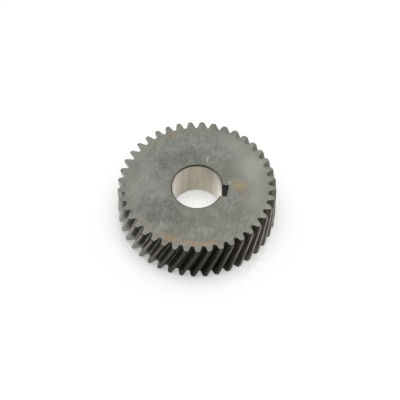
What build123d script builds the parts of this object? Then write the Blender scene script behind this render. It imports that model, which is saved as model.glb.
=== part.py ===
from build123d import *
import os
from itertools import pairwise
from math import acos, atan, ceil, cos, degrees, hypot, pi, radians, sin, sqrt, tan

# A right-hand helical gear, turned from one steel blank, hobbed, bored and
# keyed. Millimetres and degrees. The bore lies on Z with the lower face at
# Z = 0, and the keyway opens towards +X.

# The toothing, as a gear drawing states it
teeth = 41
normal_module = 1.25
normal_pressure_angle = 20.0
helix_angle = 20.0  # right-hand, at the pitch cylinder
addendum_in_modules = 1.0
dedendum_in_modules = 1.25  # the roots are rounded in full
backlash = 0.05  # taken off each tooth's thickness along the pitch circle

# The blank
face_width = 16.0
tip_chamfer = 0.5  # round both rims

# The bore and its key
bore_diameter = 18.0
bore_chamfer = 0.5
key_width = 5.0
key_floor_height = 11.3  # from the bore's axis to the keyway's floor
key_corner_radius = 0.2

# How the flanks are drawn
flank_points = 5
helix_tolerance = 0.011  # how far a ruled strip may stray from the true helicoid


def involute(angle):
    """The involute function of a pressure angle in radians."""
    return tan(angle) - angle


# Sizes in the transverse plane, which is the plane of the gear's faces
helix = radians(helix_angle)
pressure_angle = atan(tan(radians(normal_pressure_angle)) / cos(helix))
pitch_radius = teeth * normal_module / cos(helix) / 2
base_radius = pitch_radius * cos(pressure_angle)
tip_radius = pitch_radius + addendum_in_modules * normal_module
root_radius = pitch_radius - dedendum_in_modules * normal_module
tooth_pitch = 2 * pi / teeth
half_space_at_pitch = tooth_pitch / 4 + backlash / 2 / pitch_radius
twist_per_mm = tan(helix) / pitch_radius


def half_space(radius):
    """Half the angle of a tooth space at a radius, in radians."""
    at_radius = acos(min(1.0, base_radius / radius))
    return half_space_at_pitch - involute(pressure_angle) + involute(at_radius)


def polar(radius, angle):
    """A point in the transverse plane."""
    return (radius * cos(angle), radius * sin(angle))


def lowest_flank_radius():
    """Where the involute ends on the arc that rounds the whole root.

    A curve parallel to an involute is an involute of the same base circle, so
    the arc's centre lies base_radius * half_space away from both flanks. The
    string that unrolls from the base circle joins it to the end of the flank.
    """
    rounding = 0.0
    for _ in range(20):
        rounding = base_radius * half_space(root_radius + rounding)
    centre_radius = max(base_radius, root_radius + rounding)
    string = sqrt(centre_radius**2 - base_radius**2) - rounding
    return hypot(base_radius, max(0.0, string))


def tooth_outline():
    """One pitch of the transverse outline: flank, rounded root, flank, tip land.

    The space between two teeth is centred on +X.
    """
    lowest = lowest_flank_radius()
    step = (tip_radius - lowest) / (flank_points - 1)
    radii = [lowest + step * i for i in range(flank_points)]
    right = Spline(*[polar(r, -half_space(r)) for r in radii])
    left = Spline(*[polar(r, half_space(r)) for r in radii])
    root = ThreePointArc(right @ 0, polar(root_radius, 0), left @ 0)
    next_tip = polar(tip_radius, tooth_pitch - half_space(tip_radius))
    tip = ThreePointArc(left @ 1, polar(tip_radius, tooth_pitch / 2), next_tip)
    return [right, root, left, tip]


def gear_outline(height):
    """The edges round the whole gear at a height, turned as far as its helix goes."""
    # a tooth stands on +X at the upper face, so a space lies half a pitch on
    turn = tooth_pitch / 2 - (face_width - height) * twist_per_mm
    return [
        Pos(0, 0, height) * Rot(0, 0, degrees(turn + i * tooth_pitch)) * edge
        for i in range(teeth)
        for edge in tooth_outline()
    ]


def toothed_disc():
    """The helical teeth: strips ruled from one outline to the next, closed by two faces."""
    widest_turn = 2 * acos(1 - helix_tolerance / tip_radius)
    strips = max(1, ceil(face_width * abs(twist_per_mm) / widest_turn))
    outlines = [gear_outline(face_width * i / strips) for i in range(strips + 1)]
    walls = [
        Face.make_surface_from_curves(low.edge(), high.edge())
        for lower, upper in pairwise(outlines)
        for low, high in zip(lower, upper)
    ]
    ends = [make_face(outline).face() for outline in (outlines[0], outlines[-1])]
    return Solid(Shell(walls + ends))


def turned_blank():
    """The disc that the teeth stay within, with its rims and its bore chamfered."""
    upright = (Align.CENTER, Align.CENTER, Align.MIN)
    disc = Cylinder(tip_radius, face_width, align=upright)
    disc -= Cylinder(bore_diameter / 2, face_width, align=upright)
    circles = disc.edges().filter_by(GeomType.CIRCLE).group_by(lambda e: e.radius)
    return chamfer(circles[-1], tip_chamfer).chamfer(bore_chamfer, None, circles[0])


def keyway():
    """The slot that a broach cuts through the bore's +X side."""
    slot = Box(
        key_floor_height, key_width, face_width,
        align=(Align.MIN, Align.CENTER, Align.MIN),
    )
    floor_edges = slot.edges().filter_by(Axis.Z).group_by(Axis.X)[-1]
    return fillet(floor_edges, key_corner_radius)


def helical_gear():
    """The finished gear, one solid."""
    return (turned_blank() & toothed_disc()) - keyway()


gear = helical_gear()
os.makedirs("parts", exist_ok=True)
export_step(gear, "parts/helical_gear.step")
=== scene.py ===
import bpy
from math import acos, cos, hypot, pi, radians, sin, sqrt, tan
from mathutils import Matrix, Vector


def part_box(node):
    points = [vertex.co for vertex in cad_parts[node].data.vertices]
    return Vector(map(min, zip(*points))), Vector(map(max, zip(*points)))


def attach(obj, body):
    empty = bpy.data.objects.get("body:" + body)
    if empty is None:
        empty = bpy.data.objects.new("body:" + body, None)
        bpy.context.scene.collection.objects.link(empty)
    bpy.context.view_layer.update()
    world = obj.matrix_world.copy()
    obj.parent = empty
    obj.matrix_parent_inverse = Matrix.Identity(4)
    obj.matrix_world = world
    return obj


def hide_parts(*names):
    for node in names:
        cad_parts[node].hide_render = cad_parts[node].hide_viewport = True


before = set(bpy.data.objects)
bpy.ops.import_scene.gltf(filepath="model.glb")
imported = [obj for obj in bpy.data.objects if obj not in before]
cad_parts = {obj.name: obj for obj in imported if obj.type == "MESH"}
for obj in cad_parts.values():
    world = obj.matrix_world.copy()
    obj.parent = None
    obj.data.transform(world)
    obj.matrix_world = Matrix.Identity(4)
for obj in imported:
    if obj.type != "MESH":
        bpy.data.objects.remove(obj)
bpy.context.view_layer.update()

mm = 0.001
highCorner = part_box("helical_gear")[1]
tipRadius = highCorner[0]
faceWidth = highCorner[2]


def linear(hexColour):    # an sRGB hex colour as Blender's linear RGBA
    channels = [int(hexColour[i:i + 2], 16) / 255 for i in (1, 3, 5)]
    return [c / 12.92 if c <= 0.04045 else ((c + 0.055) / 1.055) ** 2.4 for c in channels] + [1]


def addNode(tree, kind, feeds=(), **settings):    # one node, its settings, and what goes into it
    made = tree.nodes.new(kind)
    for name, value in settings.items():
        setattr(made, name, value)
    for key, feed in feeds.items() if isinstance(feeds, dict) else enumerate(feeds):
        if isinstance(feed, bpy.types.Node):    # a node stands for its first output
            feed = feed.outputs[0]
        if isinstance(feed, bpy.types.NodeSocket):
            tree.links.new(feed, made.inputs[key])
        else:
            made.inputs[key].default_value = feed
    return made


gearValues = {    # mm and degrees, as the gear's drawing gives them
    "teeth": 41,
    "normalModule": 1.25,
    "normalPressureAngle": 20,
    "helixAngle": 20,        # right-hand
    "dedendum": 1.25,        # in modules, rounded in full
    "backlash": 0.05,
    "tipChamfer": 0.5,
    "boreRadius": 9,
    "boreChamfer": 0.5,
    "keyWidth": 5,
    "keyFloor": 11.3,        # from the bore's axis
    "keyCorner": 0.2,
    "edgeBreak": 0.11,       # the tumbled edge where the flanks meet the faces
    "edgeWear": 0.6,         # how uneven that edge is, as a share of it
    "wearSpot": 1.1,         # from one uneven place to the next
    "landSteps": 3,          # points along half of a tip land
    "flankSteps": 7,
    "rootSteps": 6,          # points along half of a rounded root
    "rimRows": 8,            # rows of points from the middle of the rim to its chamfer
    "cornerAngle": 28,       # what bends more than this is shaded as a corner
    "seed": 7,
}
helix = radians(gearValues["helixAngle"])
pitchRadius = gearValues["teeth"] * gearValues["normalModule"] * mm / cos(helix) / 2
twistPerMetre = tan(helix) / pitchRadius


def halfTooth():    # points and outward normals from the middle of a tip to the middle of a space
    v = gearValues
    teeth, module = v["teeth"], v["normalModule"] * mm
    pressure = tan(radians(v["normalPressureAngle"])) / cos(helix)    # tangent of the transverse angle
    baseRadius = pitchRadius / sqrt(1 + pressure * pressure)
    rootRadius = pitchRadius - v["dedendum"] * module

    def rollBack(radius):    # how far the involute leans back at a radius
        angle = acos(baseRadius / radius)
        return tan(angle) - angle

    atBase = pi / teeth / 2 - v["backlash"] * mm / 2 / pitchRadius + rollBack(pitchRadius)
    atTip = atBase - rollBack(tipRadius)
    rounding = 0    # the arc that touches both flanks and the root circle
    for _ in range(20):
        rounding = baseRadius * (pi / teeth - atBase + rollBack(rootRadius + rounding))
    centre = rootRadius + rounding
    lowest = hypot(baseRadius, sqrt(centre ** 2 - baseRadius ** 2) - rounding)
    points = []
    for i in range(v["landSteps"]):    # the tip land
        a = atTip * i / v["landSteps"]
        points.append((tipRadius * cos(a), tipRadius * sin(a), cos(a), sin(a)))
    for i in range(v["flankSteps"]):    # the involute flank, down to the rounded root
        radius = tipRadius + (lowest - tipRadius) * i / v["flankSteps"]
        a = atBase - rollBack(radius)
        string = a - acos(baseRadius / radius) + pi / 2    # the line that unrolls from the base circle
        points.append((radius * cos(a), radius * sin(a), cos(string), sin(string)))
    middle = pi / teeth
    first = middle - acos(baseRadius / centre) - pi / 2
    last = middle - pi
    for i in range(v["rootSteps"] + 1):    # half of the rounded root
        a = first + (last - first) * i / v["rootSteps"]
        x = centre * cos(middle) + rounding * cos(a)
        y = centre * sin(middle) + rounding * sin(a)
        points.append((x, y, -cos(a), -sin(a)))
    return points


def pointMesh(name, points, outward=None):    # a mesh of loose points that the tree reads by index
    mesh = bpy.data.meshes.new(name)
    mesh.from_pydata(points, [], [])
    if outward:
        column = mesh.attributes.new("outward", "FLOAT_VECTOR", "POINT")
        column.data.foreach_set("vector", [c for n in outward for c in n])
    made = bpy.data.objects.new(name, mesh)
    bpy.context.scene.collection.objects.link(made)
    return made


def toothOutline():    # one tooth, from the space before it to the space after it
    half = halfTooth()
    paintedGlowInMetal = [(x, -y, nx, -ny) for x, y, nx, ny in half[:0:-1]]
    whole = paintedGlowInMetal[1:] + half    # the middle of a space is on both, so one is left out
    places = [(x, y, 0) for x, y, nx, ny in whole]
    return pointMesh("toothOutline", places, [(nx, ny, 0) for x, y, nx, ny in whole])


def blankSection():    # the turned blank cut through on one side: radius along X, height along Z
    v = gearValues
    bore, rim, rows = v["boreRadius"] * mm, tipRadius, v["rimRows"]
    boreCut, rimCut, edge = v["boreChamfer"] * mm, v["tipChamfer"] * mm, v["edgeBreak"] * mm
    middle, faceRim = faceWidth / 2, tipRadius - rimCut
    upper = [(rim, middle + (middle - rimCut) * i / rows) for i in range(rows)]
    upper += [(rim - rimCut * i / 3, faceWidth - rimCut + rimCut * i / 3) for i in range(3)]
    upper += [(faceRim + edge * share, faceWidth - edge * share) for share in (1, 0.6, 0.3, 0)]
    upper += [(radius * mm, faceWidth) for radius in (25.2, 22, 18, 14, 11)]    # no long slivers on the face
    upper += [(bore + boreCut, faceWidth), (bore, faceWidth - boreCut), (bore, faceWidth * 0.75)]
    lower = [(radius, faceWidth - height) for radius, height in upper[1:]]
    section = upper + [(bore, middle)] + lower[::-1]
    return pointMesh("blankSection", [(radius, 0, height) for radius, height in section])


def gearTree(finishes):    # turns the two outlines into the gear, keyed and with its four finishes
    tree = bpy.data.node_groups.new("hobbedGear", "GeometryNodeTree")
    maths, whole, vector = "ShaderNodeMath", "FunctionNodeIntegerMath", "ShaderNodeVectorMath"
    sizes = ("Face Width", "Twist", "Edge Break", "Edge Wear", "Wear Spot")
    sizes += ("Bore Radius", "Key Width", "Key Floor", "Key Corner")
    inputs = [("Tooth Outline", "Geometry"), ("Blank Section", "Object"), ("Teeth", "Int"), ("Seed", "Int")]
    for name, kind in inputs + [(name, "Float") for name in sizes]:
        tree.interface.new_socket(name, in_out="INPUT", socket_type="NodeSocket" + kind)
    tree.interface.new_socket("Gear", in_out="OUTPUT", socket_type="NodeSocketGeometry")
    given = addNode(tree, "NodeGroupInput").outputs

    # a sheet of points: one column for each point round the teeth, one row for each point of the section
    outline = given["Tooth Outline"]
    blank = addNode(tree, "GeometryNodeObjectInfo", {"Object": given["Blank Section"]})
    section = blank.outputs["Geometry"]
    perTooth = addNode(tree, "GeometryNodeAttributeDomainSize", {"Geometry": outline})
    perSection = addNode(tree, "GeometryNodeAttributeDomainSize", {"Geometry": section})
    rows = addNode(tree, whole, [perSection, 1], operation="ADD")
    columns = addNode(tree, whole, [perTooth, given["Teeth"], 1], operation="MULTIPLY_ADD")
    sheet = addNode(tree, "GeometryNodeMeshGrid", {"Vertices X": columns, "Vertices Y": rows})
    index = addNode(tree, "GeometryNodeInputIndex")
    column = addNode(tree, whole, [index, rows], operation="DIVIDE_FLOOR")
    rowNumber = addNode(tree, whole, [index, rows], operation="MODULO")
    row = addNode(tree, whole, [rowNumber, perSection], operation="MODULO")
    toothNumber = addNode(tree, whole, [column, perTooth], operation="DIVIDE_FLOOR")
    onTooth = addNode(tree, whole, [column, perTooth], operation="MODULO")

    # what the outlines say at that column and row
    place = addNode(tree, "GeometryNodeInputPosition")
    outward = addNode(tree, "GeometryNodeInputNamedAttribute", {"Name": "outward"},
                      data_type="FLOAT_VECTOR")
    reads = [(outline, place, onTooth), (outline, outward, onTooth), (section, place, row)]
    flank, away, turned = [
        addNode(tree, "GeometryNodeSampleIndex", {"Geometry": geometry, "Value": value, "Index": at},
                data_type="FLOAT_VECTOR")
        for geometry, value, at in reads
    ]
    turnedParts = addNode(tree, "ShaderNodeSeparateXYZ", [turned]).outputs
    radius, height = turnedParts["X"], turnedParts["Z"]

    # the helix turns each row a little further
    circleShare = addNode(tree, maths, [toothNumber, given["Teeth"]], operation="DIVIDE")
    toothTurn = addNode(tree, maths, [circleShare, 2 * pi], operation="MULTIPLY")
    belowUpper = addNode(tree, maths, [height, given["Face Width"]], operation="SUBTRACT")
    turn = addNode(tree, maths, [belowUpper, given["Twist"], toothTurn], operation="MULTIPLY_ADD")

    # near both faces the flanks draw in, more in some places than in others
    spot = addNode(tree, "ShaderNodeVectorRotate", {"Vector": flank, "Angle": turn}, rotation_type="Z_AXIS")
    perMetre = addNode(tree, maths, [1, given["Wear Spot"]], operation="DIVIDE")
    noise = addNode(tree, "ShaderNodeTexNoise", {
        "Vector": spot, "W": given["Seed"], "Scale": perMetre, "Detail": 1}, noise_dimensions="4D")
    swing = addNode(tree, maths, [noise, 4, -2], operation="MULTIPLY_ADD")    # about -1 to 1
    uneven = addNode(tree, maths, [swing, given["Edge Wear"], 1], operation="MULTIPLY_ADD")
    fromUpper = addNode(tree, maths, [given["Face Width"], height], operation="SUBTRACT")
    fromFace = addNode(tree, maths, [fromUpper, height], operation="MINIMUM")
    near = addNode(tree, maths, [fromFace, given["Edge Break"]], operation="DIVIDE", use_clamp=True)
    short = addNode(tree, maths, [1, near], operation="SUBTRACT")
    curved = addNode(tree, maths, [short, 2], operation="POWER")
    deepest = addNode(tree, maths, [given["Edge Break"], uneven], operation="MULTIPLY")
    inset = addNode(tree, maths, [curved, deepest], operation="MULTIPLY")
    drawnIn = addNode(tree, vector, {"Vector": away, "Scale": inset}, operation="SCALE")
    worn = addNode(tree, vector, [flank, drawnIn], operation="SUBTRACT")

    # nothing stands outside the turned blank
    reach = addNode(tree, vector, [worn], operation="LENGTH").outputs["Value"]
    inside = addNode(tree, maths, [radius, reach], operation="DIVIDE")
    within = addNode(tree, maths, [inside, 1], operation="MINIMUM")
    trimmed = addNode(tree, vector, {"Vector": worn, "Scale": within}, operation="SCALE")
    wound = addNode(tree, "ShaderNodeVectorRotate", {"Vector": trimmed, "Angle": turn},
                    rotation_type="Z_AXIS")
    rise = addNode(tree, "ShaderNodeCombineXYZ", {"Z": height})
    lifted = addNode(tree, vector, [wound, rise], operation="ADD")
    wrapped = addNode(tree, "GeometryNodeSetPosition", {"Geometry": sheet, "Position": lifted})
    merged = addNode(tree, "GeometryNodeMergeByDistance", {"Geometry": wrapped, "Distance": 1e-6})

    # the broach: a bar from the bore's axis to the keyway's floor, with rounded corners
    slot = addNode(tree, "GeometryNodeCurvePrimitiveQuadrilateral",
                   {"Width": given["Key Floor"], "Height": given["Key Width"]})
    rounded = addNode(tree, "GeometryNodeFilletCurve",
                      {"Curve": slot, "Radius": given["Key Corner"], "Count": 4}, mode="POLY")
    filled = addNode(tree, "GeometryNodeFillCurve", {"Curve": rounded}, mode="NGONS")
    length = addNode(tree, maths, [given["Face Width"], 1.5], operation="MULTIPLY")
    upward = addNode(tree, "ShaderNodeCombineXYZ", {"Z": length})
    raised = addNode(tree, "GeometryNodeExtrudeMesh",
                     {"Mesh": filled, "Offset": upward, "Individual": False})
    base = addNode(tree, "GeometryNodeFlipFaces", {"Mesh": filled})
    bar = addNode(tree, "GeometryNodeJoinGeometry", [raised])
    tree.links.new(base.outputs[0], bar.inputs[0])
    closed = addNode(tree, "GeometryNodeMergeByDistance", {"Geometry": bar, "Distance": 1e-6})
    halfFloor = addNode(tree, maths, [given["Key Floor"], 0.5], operation="MULTIPLY")
    below = addNode(tree, maths, [given["Face Width"], -0.25], operation="MULTIPLY")
    seat = addNode(tree, "ShaderNodeCombineXYZ", {"X": halfFloor, "Z": below})
    broach = addNode(tree, "GeometryNodeTransform", {"Geometry": closed, "Translation": seat})
    blackened, blackBroach = [
        addNode(tree, "GeometryNodeSetMaterial", {"Geometry": part, "Material": finishes["teeth"]})
        for part in (merged, broach)
    ]
    keyed = addNode(tree, "GeometryNodeMeshBoolean", {"Mesh 1": blackened, "Mesh 2": blackBroach},
                    operation="DIFFERENCE", solver="EXACT")

    # smooth but for the real corners, and later the flat faces
    smooth = addNode(tree, "GeometryNodeSetShadeSmooth", {"Geometry": keyed, "Shade Smooth": True})
    corner = addNode(tree, "GeometryNodeInputMeshEdgeAngle")
    sharp = addNode(tree, "FunctionNodeCompare", [corner, radians(gearValues["cornerAngle"])],
                    operation="GREATER_THAN")
    creased = addNode(tree, "GeometryNodeSetShadeSmooth",
                      {"Geometry": smooth, "Selection": sharp, "Shade Smooth": False}, domain="EDGE")

    # which finish each face has: all is blackened but what was machined after
    facing = addNode(tree, "ShaderNodeSeparateXYZ", [addNode(tree, "GeometryNodeInputNormal")]).outputs["Z"]
    steep = addNode(tree, maths, [facing], operation="ABSOLUTE")
    flat = addNode(tree, maths, [steep, 0.995], operation="GREATER_THAN")    # within 6 degrees
    upright = addNode(tree, maths, [steep, 0.1], operation="LESS_THAN")
    across = addNode(tree, vector, [place, (1, 1, 0)], operation="MULTIPLY")
    fromAxis = addNode(tree, vector, [across], operation="LENGTH").outputs["Value"]
    justOutside = addNode(tree, maths, [given["Bore Radius"], 2e-5], operation="ADD")
    atBore = addNode(tree, maths, [fromAxis, justOutside], operation="LESS_THAN")
    inBore = addNode(tree, maths, [upright, atBore], operation="MULTIPLY")
    pastFloor = addNode(tree, maths, [given["Key Floor"], given["Key Corner"]], operation="ADD")
    beforeFloor = addNode(tree, maths, [fromAxis, pastFloor], operation="LESS_THAN")
    wallsNear = addNode(tree, maths, [upright, beforeFloor], operation="MULTIPLY")
    inKeyway = addNode(tree, maths, [wallsNear, inBore], operation="SUBTRACT", use_clamp=True)
    finished = addNode(tree, "GeometryNodeSetShadeSmooth",
                       {"Geometry": creased, "Selection": flat, "Shade Smooth": False})
    for name, chosen in (("face", flat), ("bore", inBore), ("keyway", inKeyway)):
        feeds = {"Geometry": finished, "Selection": chosen, "Material": finishes[name]}
        finished = addNode(tree, "GeometryNodeSetMaterial", feeds)
    real = addNode(tree, "GeometryNodeRealizeInstances", {"Geometry": finished})
    addNode(tree, "NodeGroupOutput", {"Gear": real})
    return tree


def gearBody(finishes):    # the gear as one plain mesh
    v = gearValues
    tooth, blank = toothOutline(), blankSection()
    gear = bpy.data.objects.new("gearBody", tooth.data.copy())
    bpy.context.scene.collection.objects.link(gear)
    modifier = gear.modifiers.new("hobbedGear", "NODES")
    modifier.node_group = gearTree(finishes)
    wanted = {
        "Blank Section": blank, "Teeth": v["teeth"], "Seed": v["seed"],
        "Face Width": faceWidth, "Twist": twistPerMetre,
        "Edge Break": v["edgeBreak"] * mm, "Edge Wear": v["edgeWear"], "Wear Spot": v["wearSpot"] * mm,
        "Bore Radius": v["boreRadius"] * mm, "Key Width": v["keyWidth"] * mm,
        "Key Floor": v["keyFloor"] * mm, "Key Corner": v["keyCorner"] * mm,
    }
    for socket in modifier.node_group.interface.items_tree:
        if socket.name in wanted:
            modifier[socket.identifier] = wanted[socket.name]
    evaluated = gear.evaluated_get(bpy.context.evaluated_depsgraph_get())
    mesh = bpy.data.meshes.new_from_object(evaluated)
    gear.modifiers.clear()
    gear.data = mesh
    for helper in (tooth, blank):
        bpy.data.objects.remove(helper)
    return gear


def newFinish(name, metallic, roughness):    # a material, its shader and the place in mm
    made = bpy.data.materials.new(name)
    made.use_nodes = True
    tree = made.node_tree
    tree.nodes.clear()
    shader = addNode(tree, "ShaderNodeBsdfPrincipled", {"Metallic": metallic, "Roughness": roughness})
    addNode(tree, "ShaderNodeOutputMaterial", [shader])
    own = addNode(tree, "ShaderNodeTexCoord").outputs["Object"]
    inMm = addNode(tree, "ShaderNodeMapping", {"Vector": own, "Scale": (1 / mm, 1 / mm, 1 / mm)})
    return made, tree, shader, inMm


faceValues = {    # mm, degrees from the keyway, and sRGB
    "metal": 0.6,            # the rest is the dull film on it
    "light": "#888b82",
    "steel": "#797b74",
    "dark": "#6a6c66",
    "tones": (0.38, 0.5, 0.62),    # where in the mottling the dark, the steel and the light lie
    "grain": 0.6,            # width of the fine mottling, drawn coarser than it is so it shows
    "grainLength": 1.7,
    "lay": 82,               # the way that the grain runs
    "blotch": 4.0,
    "cloud": 14.0,
    "broadShare": 0.66,      # how much of the mottling is blotch and cloud, and not grain
    "raggedness": 5.0,       # how far the mottling eats into a patch's edge
    "patchEdge": (3.7, 2.5),    # where a patch starts, and where it is full
    "roughness": 0.45,
    "bumps": (0.05, 0.15),    # height of the grain, and how strongly it shows
    "tints": {
        "olive": "#706f62",
        "rim": "#7e7e74",
        "rust": "#a9835a",
        "brown": "#86705a",
        "tan": "#a08a62",
        # the stain tint is partly painted shade, the pale tint partly painted sheen
        "stainAndShade": "#595b56",
        "paleWearAndSheen": "#9b9c92",
    },
    "rings": [    # tint, where it starts, where it is full, strength
        ("olive", 13.0, 9.5, 0.9), ("rim", 22.0, 24.5, 1.2),
    ],
    "patches": [    # tint, radius, angle, half width outward, half width round, strength
        ("olive", 16.5, 290, 10.0, 19.0, 0.9), ("olive", 12.7, 42, 4.5, 7.0, 0.6),
        ("olive", 23.5, 95, 2.5, 9.0, 0.5), ("stainAndShade", 16.5, 240, 7.0, 8.5, 0.5),
        ("stainAndShade", 14.4, 122, 3.2, 7.5, 0.4), ("stainAndShade", 21.0, 230, 3.0, 7.0, 0.45),
        ("stainAndShade", 24.4, 113, 0.9, 1.4, 0.6), ("stainAndShade", 17.2, 92, 1.6, 0.5, 0.5),
        ("stainAndShade", 18.6, 186, 0.5, 1.8, 0.45), ("paleWearAndSheen", 19.6, 176, 2.6, 7.0, 0.35),
        ("paleWearAndSheen", 21.8, -4, 3.6, 5.5, 0.5), ("paleWearAndSheen", 22.5, 192, 2.5, 5.0, 0.2),
        ("paleWearAndSheen", 21.5, 32, 5.5, 9.0, 0.8), ("paleWearAndSheen", 22.5, 62, 4.0, 8.0, 0.5),
        ("paleWearAndSheen", 26.8, 345, 2.0, 14.0, 0.5), ("paleWearAndSheen", 26.5, 150, 2.0, 8.0, 0.3),
        ("stainAndShade", 26.5, 208, 2.2, 7.0, 0.4), ("stainAndShade", 26.8, 84, 2.0, 9.0, 0.35),
        ("tan", 14.9, 13, 3.2, 3.0, 0.6), ("brown", 16.5, -4, 1.4, 2.2, 0.4),
        ("brown", 23.9, 124, 1.5, 3.0, 0.6), ("brown", 23.9, 139, 1.4, 2.6, 0.5),
        ("brown", 23.7, 97, 1.3, 3.5, 0.35), ("brown", 24.6, 229, 1.6, 4.5, 0.5),
        ("rust", 24.0, 246, 1.4, 3.8, 0.2), ("rust", 24.0, 260, 1.5, 4.4, 0.32),
        ("rust", 24.5, 274, 1.6, 4.4, 0.4), ("rust", 24.8, 288, 1.4, 4.4, 0.35),
    ],
    "speckle": [    # tint, where in the grain it starts, where it is full, strength
        ("stainAndShade", 0.48, 0.32, 0.15), ("paleWearAndSheen", 0.52, 0.68, 0.12),
    ],
    "scratches": [    # radius, angle, direction of the scratch, half length, half width, strength
        (12.3, 82, 92, 2.1, 0.10, 0.85), (11.9, 19, 70, 0.6, 0.22, 0.85),
        (16.5, 172, 117, 4.0, 0.12, 0.15), (18.3, 181, 108, 3.2, 0.12, 0.12),
        (14.8, 186, 121, 2.6, 0.10, 0.15), (19.5, 348, 24, 3.6, 0.12, 0.15),
        (18.6, 341, 52, 2.4, 0.10, 0.12), (20.3, 62, 146, 3.0, 0.10, 0.12),
        (17.2, 300, 12, 3.0, 0.10, 0.12),
    ],
    "bare": "#d8d6cc",
}


# ground steel gone dull: to the eye mid grey and softly mottled, with olive stains and a little rust, and
# paler and darker patches that are partly painted sheen and shade
def tarnishedFace(v):
    made, tree, shader, place = newFinish("tarnishedSteelFace", v["metal"], v["roughness"])
    maths, vector = "ShaderNodeMath", "ShaderNodeVectorMath"
    along = addNode(tree, "ShaderNodeMapping", {
        "Vector": place, "Rotation": (0, 0, radians(v["lay"])),
        "Scale": (v["grainLength"] / v["grain"], 1, 1)}, vector_type="TEXTURE")
    grain, blotch, cloud = [
        addNode(tree, "ShaderNodeTexNoise", {"Vector": source, "Scale": 1 / v[size], "Detail": 2})
        for source, size in ((along, "grain"), (place, "blotch"), (place, "cloud"))
    ]
    broad = addNode(tree, "ShaderNodeMix", {"Factor": 0.5, "A": blotch, "B": cloud}, data_type="FLOAT")
    mottle = addNode(tree, "ShaderNodeMix", {"Factor": v["broadShare"], "A": grain, "B": broad},
                     data_type="FLOAT")
    ramp = addNode(tree, "ShaderNodeValToRGB", [mottle])
    stops = ramp.color_ramp.elements
    stops.new(0.5)
    for stop, position, shade in zip(stops, v["tones"], ("dark", "steel", "light")):
        stop.position, stop.color = position, linear(v[shade])
    colour = ramp.outputs["Color"]

    # olive towards the bore, paler towards the rim
    flatPlace = addNode(tree, vector, [place, (1, 1, 0)], operation="MULTIPLY")
    radius = addNode(tree, vector, [flatPlace], operation="LENGTH").outputs["Value"]
    for tint, near, far, strength in v["rings"]:
        share = addNode(tree, "ShaderNodeMapRange", [radius, near, far, 0, strength])
        patchy = addNode(tree, maths, [share, mottle], operation="MULTIPLY", use_clamp=True)
        colour = addNode(tree, "ShaderNodeMix", {
            "Factor": patchy, "A": colour, "B": linear(v["tints"][tint])},
            data_type="RGBA").outputs["Result"]

    # stains, worn places and rust where they lie on the upper face, with ragged edges; the pale patches are
    # partly painted sheen and the stain patches partly painted shade
    upperFace = faceWidth / mm
    for tint, out, angle, wide, long, strength in v["patches"]:
        a = radians(angle)
        local = addNode(tree, "ShaderNodeMapping", {
            "Vector": place, "Location": (out * cos(a), out * sin(a), upperFace), "Rotation": (0, 0, a),
            "Scale": (wide, long, 1)}, vector_type="TEXTURE")
        away = addNode(tree, vector, [local], operation="LENGTH").outputs["Value"]
        ragged = addNode(tree, maths, [mottle, v["raggedness"], away], operation="MULTIPLY_ADD")
        mask = addNode(tree, "ShaderNodeMapRange", [ragged, *v["patchEdge"], 0, strength])
        colour = addNode(tree, "ShaderNodeMix", {
            "Factor": mask, "A": colour, "B": linear(v["tints"][tint])},
            data_type="RGBA").outputs["Result"]
    for tint, near, far, strength in v["speckle"]:
        share = addNode(tree, "ShaderNodeMapRange", [grain, near, far, 0, strength])
        colour = addNode(tree, "ShaderNodeMix", {
            "Factor": share, "A": colour, "B": linear(v["tints"][tint])},
            data_type="RGBA").outputs["Result"]
    for out, angle, direction, long, wide, strength in v["scratches"]:    # bare metal shows
        a = radians(angle)
        local = addNode(tree, "ShaderNodeMapping", {
            "Vector": place, "Location": (out * cos(a), out * sin(a), upperFace),
            "Rotation": (0, 0, radians(direction)), "Scale": (long, wide, 1)}, vector_type="TEXTURE")
        away = addNode(tree, vector, [local], operation="LENGTH").outputs["Value"]
        mask = addNode(tree, "ShaderNodeMapRange", [away, 1, 0.4, 0, strength])
        colour = addNode(tree, "ShaderNodeMix", {"Factor": mask, "A": colour, "B": linear(v["bare"])},
                         data_type="RGBA").outputs["Result"]
    tree.links.new(colour, shader.inputs["Base Color"])
    height, strength = v["bumps"]
    bump = addNode(tree, "ShaderNodeBump", {
        "Height": grain, "Strength": strength, "Distance": height * mm})
    tree.links.new(bump.outputs[0], shader.inputs["Normal"])
    return made


teethValues = {    # mm and sRGB
    "metal": 0.9,
    "oxide": "#4c4943",
    "oxideLight": "#7c776d",
    "land": "#736f67",
    # the tips' colour: rubbed oxide and a painted highlight
    "edge": "#8f8a80",
    "streaksFrom": (0.35, 0.65),    # where in the noise the oxide is darkest, and lightest
    "rubbedWithHighlightFrom": (0.2, 0.04),    # how far in from the tips the oxide is rubbed and painted lighter as a highlight, and where most
    "rubbedWithHighlight": 0.9,
    "landFrom": (0.05, 0.015),    # how far in from the outside the turned lands start, and are full
    "landShare": 0.7,
    "ringDepth": 0.4,
    "streak": 0.5,           # width of the streaks the hob left along the teeth
    "streakLength": 3.3,
    "turningPitch": 0.55,    # rings left on the outside diameter, drawn coarser than they are so they show
    "roughness": 0.38,
    "gloss": 0.5,
}
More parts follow.
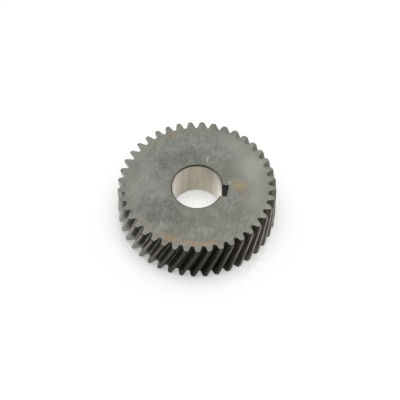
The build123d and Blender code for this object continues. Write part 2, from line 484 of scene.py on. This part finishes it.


# hobbed steel, chemically blackened: near black, with a dull gloss at a glance and worn tips, lighter also
# as a painted highlight
def blackOxideTeeth(v):
    made, tree, shader, place = newFinish("blackOxideTeeth", v["metal"], v["roughness"])
    shader.inputs["Specular IOR Level"].default_value = v["gloss"]
    maths = "ShaderNodeMath"

    # streaks along the teeth: the helix is unwound by height, and the noise drawn out upwards
    height = addNode(tree, "ShaderNodeSeparateXYZ", [place]).outputs["Z"]
    back = addNode(tree, maths, [height, -twistPerMetre * mm], operation="MULTIPLY")
    straight = addNode(tree, "ShaderNodeVectorRotate", {"Vector": place, "Angle": back},
                       rotation_type="Z_AXIS")
    across, along = 1 / v["streak"], 1 / v["streakLength"]
    drawnOut = addNode(tree, "ShaderNodeMapping", {"Vector": straight, "Scale": (across, across, along)})
    fine = addNode(tree, "ShaderNodeTexNoise", {"Vector": drawnOut, "Scale": 1, "Detail": 3})
    shade = addNode(tree, "ShaderNodeMapRange", [fine, *v["streaksFrom"], 0, 1])
    colour = addNode(tree, "ShaderNodeMix", {
        "Factor": shade, "A": linear(v["oxide"]), "B": linear(v["oxideLight"])},
        data_type="RGBA").outputs["Result"]
    flatPlace = addNode(tree, "ShaderNodeVectorMath", [place, (1, 1, 0)], operation="MULTIPLY")
    radius = addNode(tree, "ShaderNodeVectorMath", [flatPlace], operation="LENGTH").outputs["Value"]

    # rubbed through along the tips, and painted lighter there as a highlight
    start, full = [tipRadius / mm - inward for inward in v["rubbedWithHighlightFrom"]]
    nearTip = addNode(tree, "ShaderNodeMapRange", [radius, start, full, 0, v["rubbedWithHighlight"]])
    rubbedWithHighlight = addNode(tree, maths, [nearTip, fine], operation="MULTIPLY")
    colour = addNode(tree, "ShaderNodeMix", {"Factor": rubbedWithHighlight, "A": colour, "B": linear(v["edge"])},
                     data_type="RGBA").outputs["Result"]

    # the turned lands with their rings
    phase = addNode(tree, maths, [height, 2 * pi / v["turningPitch"]], operation="MULTIPLY")
    ring = addNode(tree, maths, [phase], operation="SINE")
    depth = addNode(tree, "ShaderNodeMapRange", [fine, 0.45, 0.7, 0, v["ringDepth"]])    # in places only
    tint = addNode(tree, maths, [ring, depth, v["landShare"]], operation="MULTIPLY_ADD")
    start, full = [tipRadius / mm - inward for inward in v["landFrom"]]
    land = addNode(tree, "ShaderNodeMapRange", [radius, start, full, 0, 1])
    landShare = addNode(tree, maths, [land, tint], operation="MULTIPLY", use_clamp=True)
    colour = addNode(tree, "ShaderNodeMix", {"Factor": landShare, "A": colour, "B": linear(v["land"])},
                     data_type="RGBA").outputs["Result"]
    tree.links.new(colour, shader.inputs["Base Color"])
    return made


boreValues = {    # mm and sRGB
    "steel": "#9c9685",
    "shade": "#8d8778",
    "paintedGlanceHighlight": "#c6c1b3",     # a painted highlight: what its base colour turns to at a glancing angle
    "paintedHighlightFrom": (0.53, 0.78),    # where that starts and where it is full, from facing at 0 to edge-on at 1
    # the bands are painted reflections of the surroundings in the wall
    "bandWidth": 2.2,
    "bandHeight": 33,
    "bandStart": (8.5, 0, 0),    # where in the noise the bands start
    "bandsFrom": (0.35, 0.65),    # where in the noise they are darkest, and lightest
    "roughness": 0.28,
}


# ground steel gone a little yellow: smooth, with faint bands up and down that are painted reflections;
# its base colour is mixed paler at a glancing angle as a painted highlight, so it changes with the view
def groundBore(v):
    made, tree, shader, place = newFinish("groundBore", 1, v["roughness"])
    across, up = 1 / v["bandWidth"], 1 / v["bandHeight"]
    paintedReflectionBands = addNode(tree, "ShaderNodeMapping", {
        "Vector": place, "Location": v["bandStart"], "Scale": (across, across, up)})
    lines = addNode(tree, "ShaderNodeTexNoise", {"Vector": paintedReflectionBands, "Scale": 1, "Detail": 4})
    share = addNode(tree, "ShaderNodeMapRange", [lines, *v["bandsFrom"], 0, 1])
    colour = addNode(tree, "ShaderNodeMix", {
        "Factor": share, "A": linear(v["shade"]), "B": linear(v["steel"])},
        data_type="RGBA").outputs["Result"]
    facing = addNode(tree, "ShaderNodeLayerWeight", {"Blend": 0.5}).outputs["Facing"]
    paintedGlanceHighlight = addNode(tree, "ShaderNodeMapRange", [facing, *v["paintedHighlightFrom"], 0, 1])
    colour = addNode(tree, "ShaderNodeMix", {"Factor": paintedGlanceHighlight, "A": colour, "B": linear(v["paintedGlanceHighlight"])},
                     data_type="RGBA").outputs["Result"]
    tree.links.new(colour, shader.inputs["Base Color"])
    return made


keywayValues = {    # mm and sRGB
    # both colours are dark partly as painted shade of the recess
    "steel": "#2e2b24",
    "blackAndPaintedShade": "#1c1a14",
    "streak": 0.33,          # width of the streaks the broach left
    "streakLength": 10,
    "roughness": 0.45,
}


# broached and blackened steel, streaked along the cut; its dark colour is partly painted shade of the narrow
# recess
def broachedKeyway(v):
    made, tree, shader, place = newFinish("broachedKeyway", 0.5, v["roughness"])
    across, along = 1 / v["streak"], 1 / v["streakLength"]
    streaks = addNode(tree, "ShaderNodeMapping", {"Vector": place, "Scale": (across, across, along)})
    lines = addNode(tree, "ShaderNodeTexNoise", {"Vector": streaks, "Scale": 1, "Detail": 3})
    colour = addNode(tree, "ShaderNodeMix", {
        "Factor": lines, "A": linear(v["blackAndPaintedShade"]), "B": linear(v["steel"])},
        data_type="RGBA").outputs["Result"]
    tree.links.new(colour, shader.inputs["Base Color"])
    return made


finishes = {
    "face": tarnishedFace(faceValues),
    "teeth": blackOxideTeeth(teethValues),
    "bore": groundBore(boreValues),
    "keyway": broachedKeyway(keywayValues),
}
print("finishes", [m.name for m in finishes.values()])

gear = gearBody(finishes)
gear.data.calc_loop_triangles()
print("gear", len(gear.data.vertices), "points", len(gear.data.loop_triangles), "triangles")
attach(gear, "root")
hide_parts("helical_gear")


cameraValues = {    # degrees and mm
    "azimuth": 9.649,
    "elevation": 56.3865,
    "roll": -0.6806,
    "distance": 1105.7,      # from the middle of the upper face
    "lens": 276.97,
    "aside": (-1.074, 4.909),    # how far the middle of the face lies right of and above the view's middle
}

stageValues = {
    "floorSize": 6.0,        # metres
    "floorGap": 0.03,        # mm under the gear, so that the two faces don't lie in one plane
    "board": "#e6e6e4",
    "boardGloss": (0.1, 0.9),    # its roughness and its specular level
    "glow": 0.38,            # what the camera sees over the board's lit level, up to white
    "paintedGlowInMetal": 0.8,         # how strongly the board glows in metal, as the tent's walls: painted light in reflections
    "boardOpening": (0.58, 1),    # cosines from straight ahead, between which the board darkens in metal: painted shade in front of the gear
    "paintedGlowUnderBore": (0.68, 1.3),    # the board's glow under the bore, left to right: painted light for the bore's wall; 1 is white
    # the board's colour in metal, darker than to the camera: painted shade in its reflection
    "boardInMetal": "#70706e",
    "tentOpening": (0, 0.6),    # the same for the tent's walls
    "worldLevel": 0.25,      # what the surroundings give to matt surfaces
    "leftWall": 1.2,         # the tent's walls, where 1 is white to metal
    "backWall": 0.45,
    "rightWall": 1.25,
    "openFront": 0.25,
    "lamps": [    # name, azimuth, elevation, distance, size in metres, watts
        ("leftLamp", 172, 82, 1.1, 0.7, 4.5),
        ("rightLamp", 14, 82, 1.1, 0.7, 4.2),
    ],
}


# how bright a light tent is in a direction: bright at the sides, open at the front
def tentWalls(tree, direction, near, far):
    v = stageValues
    a = radians(cameraValues["azimuth"])
    ahead, aside = [
        addNode(tree, "ShaderNodeVectorMath", [direction, way], operation="DOT_PRODUCT").outputs["Value"]
        for way in ((sin(a), -cos(a), 0), (cos(a), sin(a), 0))
    ]
    opening = addNode(tree, "ShaderNodeMapRange", [ahead, near, far, 1, v["openFront"]],
                      interpolation_type="SMOOTHSTEP")
    level = v["backWall"]
    for edge, wall in ((-far, v["leftWall"]), (far, v["rightWall"])):
        more = addNode(tree, "ShaderNodeMapRange", [aside, 0, edge, 0, wall - v["backWall"]])
        level = addNode(tree, "ShaderNodeMath", [more, level], operation="ADD")
    return addNode(tree, "ShaderNodeMath", [opening, level], operation="MULTIPLY")


# glossy white board: white to the camera but for the gear's shadow and a faint reflection; in metal it shows
# a painted glow, brighter at the sides and under the bore and darker in front
def whiteFloor(v):
    made = bpy.data.materials.new("whiteBoard")
    made.use_nodes = True
    tree = made.node_tree
    tree.nodes.clear()
    rays = addNode(tree, "ShaderNodeLightPath").outputs
    colour = addNode(tree, "ShaderNodeMix", {
        "Factor": rays["Is Glossy Ray"], "A": linear(v["board"]), "B": linear(v["boardInMetal"])},
        data_type="RGBA")
    place = addNode(tree, "ShaderNodeTexCoord").outputs["Object"]
    bearing = addNode(tree, "ShaderNodeVectorMath", [place], operation="NORMALIZE")
    walls = tentWalls(tree, bearing, *v["boardOpening"])
    paintedGlowInMetal = addNode(tree, "ShaderNodeMath", [walls, v["paintedGlowInMetal"]], operation="MULTIPLY")

    # only the bore and the keyway mirror the board under the bore, where it glows brighter to the right:
    # painted light for the bore's wall
    a, bore = radians(cameraValues["azimuth"]), gearValues["boreRadius"] * mm
    aside = addNode(tree, "ShaderNodeVectorMath", [place, (cos(a), sin(a), 0)], operation="DOT_PRODUCT")
    paintedBoreGlow = addNode(tree, "ShaderNodeMapRange", [aside.outputs["Value"], -bore, bore, *v["paintedGlowUnderBore"]])
    fromAxis = addNode(tree, "ShaderNodeVectorMath", [place], operation="LENGTH").outputs["Value"]
    paintedGlowUnderBore = addNode(tree, "ShaderNodeMath", [fromAxis, bore], operation="LESS_THAN")
    level = addNode(tree, "ShaderNodeMix", {"Factor": paintedGlowUnderBore, "A": paintedGlowInMetal, "B": paintedBoreGlow},
                    data_type="FLOAT")
    inMetal = addNode(tree, "ShaderNodeMath", [rays["Is Glossy Ray"], level], operation="MULTIPLY")
    glow = addNode(tree, "ShaderNodeMath", [rays["Is Camera Ray"], v["glow"], inMetal],
                   operation="MULTIPLY_ADD")
    roughness, specular = v["boardGloss"]
    board = addNode(tree, "ShaderNodeBsdfPrincipled", {
        "Base Color": colour.outputs["Result"], "Roughness": roughness, "Specular IOR Level": specular,
        "Emission Color": (1, 1, 1, 1), "Emission Strength": glow})
    addNode(tree, "ShaderNodeOutputMaterial", [board])
    half = v["floorSize"] / 2
    mesh = bpy.data.meshes.new("floor")
    below = -v["floorGap"] * mm
    corners = [(-half, -half, below), (half, -half, below), (half, half, below), (-half, half, below)]
    mesh.from_pydata(corners, [], [(0, 1, 2, 3)])
    mesh.materials.append(made)
    floor = bpy.data.objects.new("floor", mesh)
    bpy.context.scene.collection.objects.link(floor)


def surroundings(v):    # white to the camera, and the tent's walls to everything else
    world = bpy.data.worlds.new("lightTent")
    world.use_nodes = True
    tree = world.node_tree
    tree.nodes.clear()
    rays = addNode(tree, "ShaderNodeLightPath").outputs
    direction = addNode(tree, "ShaderNodeTexCoord").outputs["Generated"]
    walls = tentWalls(tree, direction, *v["tentOpening"])
    reflected = addNode(tree, "ShaderNodeMath", [rays["Is Glossy Ray"], rays["Is Transmission Ray"]],
                        operation="MAXIMUM")
    level = addNode(tree, "ShaderNodeMapRange", [reflected, 0, 1, v["worldLevel"], 1])
    shaded = addNode(tree, "ShaderNodeMath", [level, walls], operation="MULTIPLY")
    strength = addNode(tree, "ShaderNodeMath", [shaded, rays["Is Camera Ray"]], operation="MAXIMUM")
    light = addNode(tree, "ShaderNodeBackground", {"Color": (1, 1, 1, 1), "Strength": strength})
    addNode(tree, "ShaderNodeOutputWorld", [light])
    bpy.context.scene.world = world


def lamp(name, azimuth, elevation, distance, size, watts):    # a square soft box aimed at the gear
    light = bpy.data.lights.new(name, "AREA")
    light.size, light.energy = size, watts
    made = bpy.data.objects.new(name, light)
    a, e = radians(azimuth), radians(elevation)
    made.location = (distance * cos(a) * cos(e), distance * sin(a) * cos(e), distance * sin(e))
    made.rotation_euler = made.location.to_track_quat("Z", "Y").to_euler()
    bpy.context.scene.collection.objects.link(made)


whiteFloor(stageValues)
surroundings(stageValues)
for settings in stageValues["lamps"]:
    lamp(*settings)
print("light tent with", len(stageValues["lamps"]), "lamps")


def photographer(v):    # the camera, aimed so that the face's middle lies where it should in the view
    data = bpy.data.cameras.new("camera")
    data.lens, data.sensor_width = v["lens"], 36
    data.clip_start, data.clip_end = 0.05, 20
    camera = bpy.data.objects.new("camera", data)
    bpy.context.scene.collection.objects.link(camera)
    a, e, roll = radians(v["azimuth"]), radians(v["elevation"]), radians(v["roll"])
    right = Vector((cos(a), sin(a), 0))
    back = Vector((sin(a) * cos(e), -cos(a) * cos(e), sin(e)))
    up = back.cross(right)
    right, up = cos(roll) * right - sin(roll) * up, sin(roll) * right + cos(roll) * up
    toRight, above = v["aside"]
    aim = Vector((0, 0, faceWidth)) - right * toRight * mm - up * above * mm
    camera.matrix_world = Matrix((right, up, back)).transposed().to_4x4()
    camera.location = aim + back * v["distance"] * mm
    bpy.context.scene.camera = camera


photographer(cameraValues)
bpy.context.scene.view_settings.view_transform = "Standard"
print("camera", cameraValues["distance"], "mm away")

print("ready")
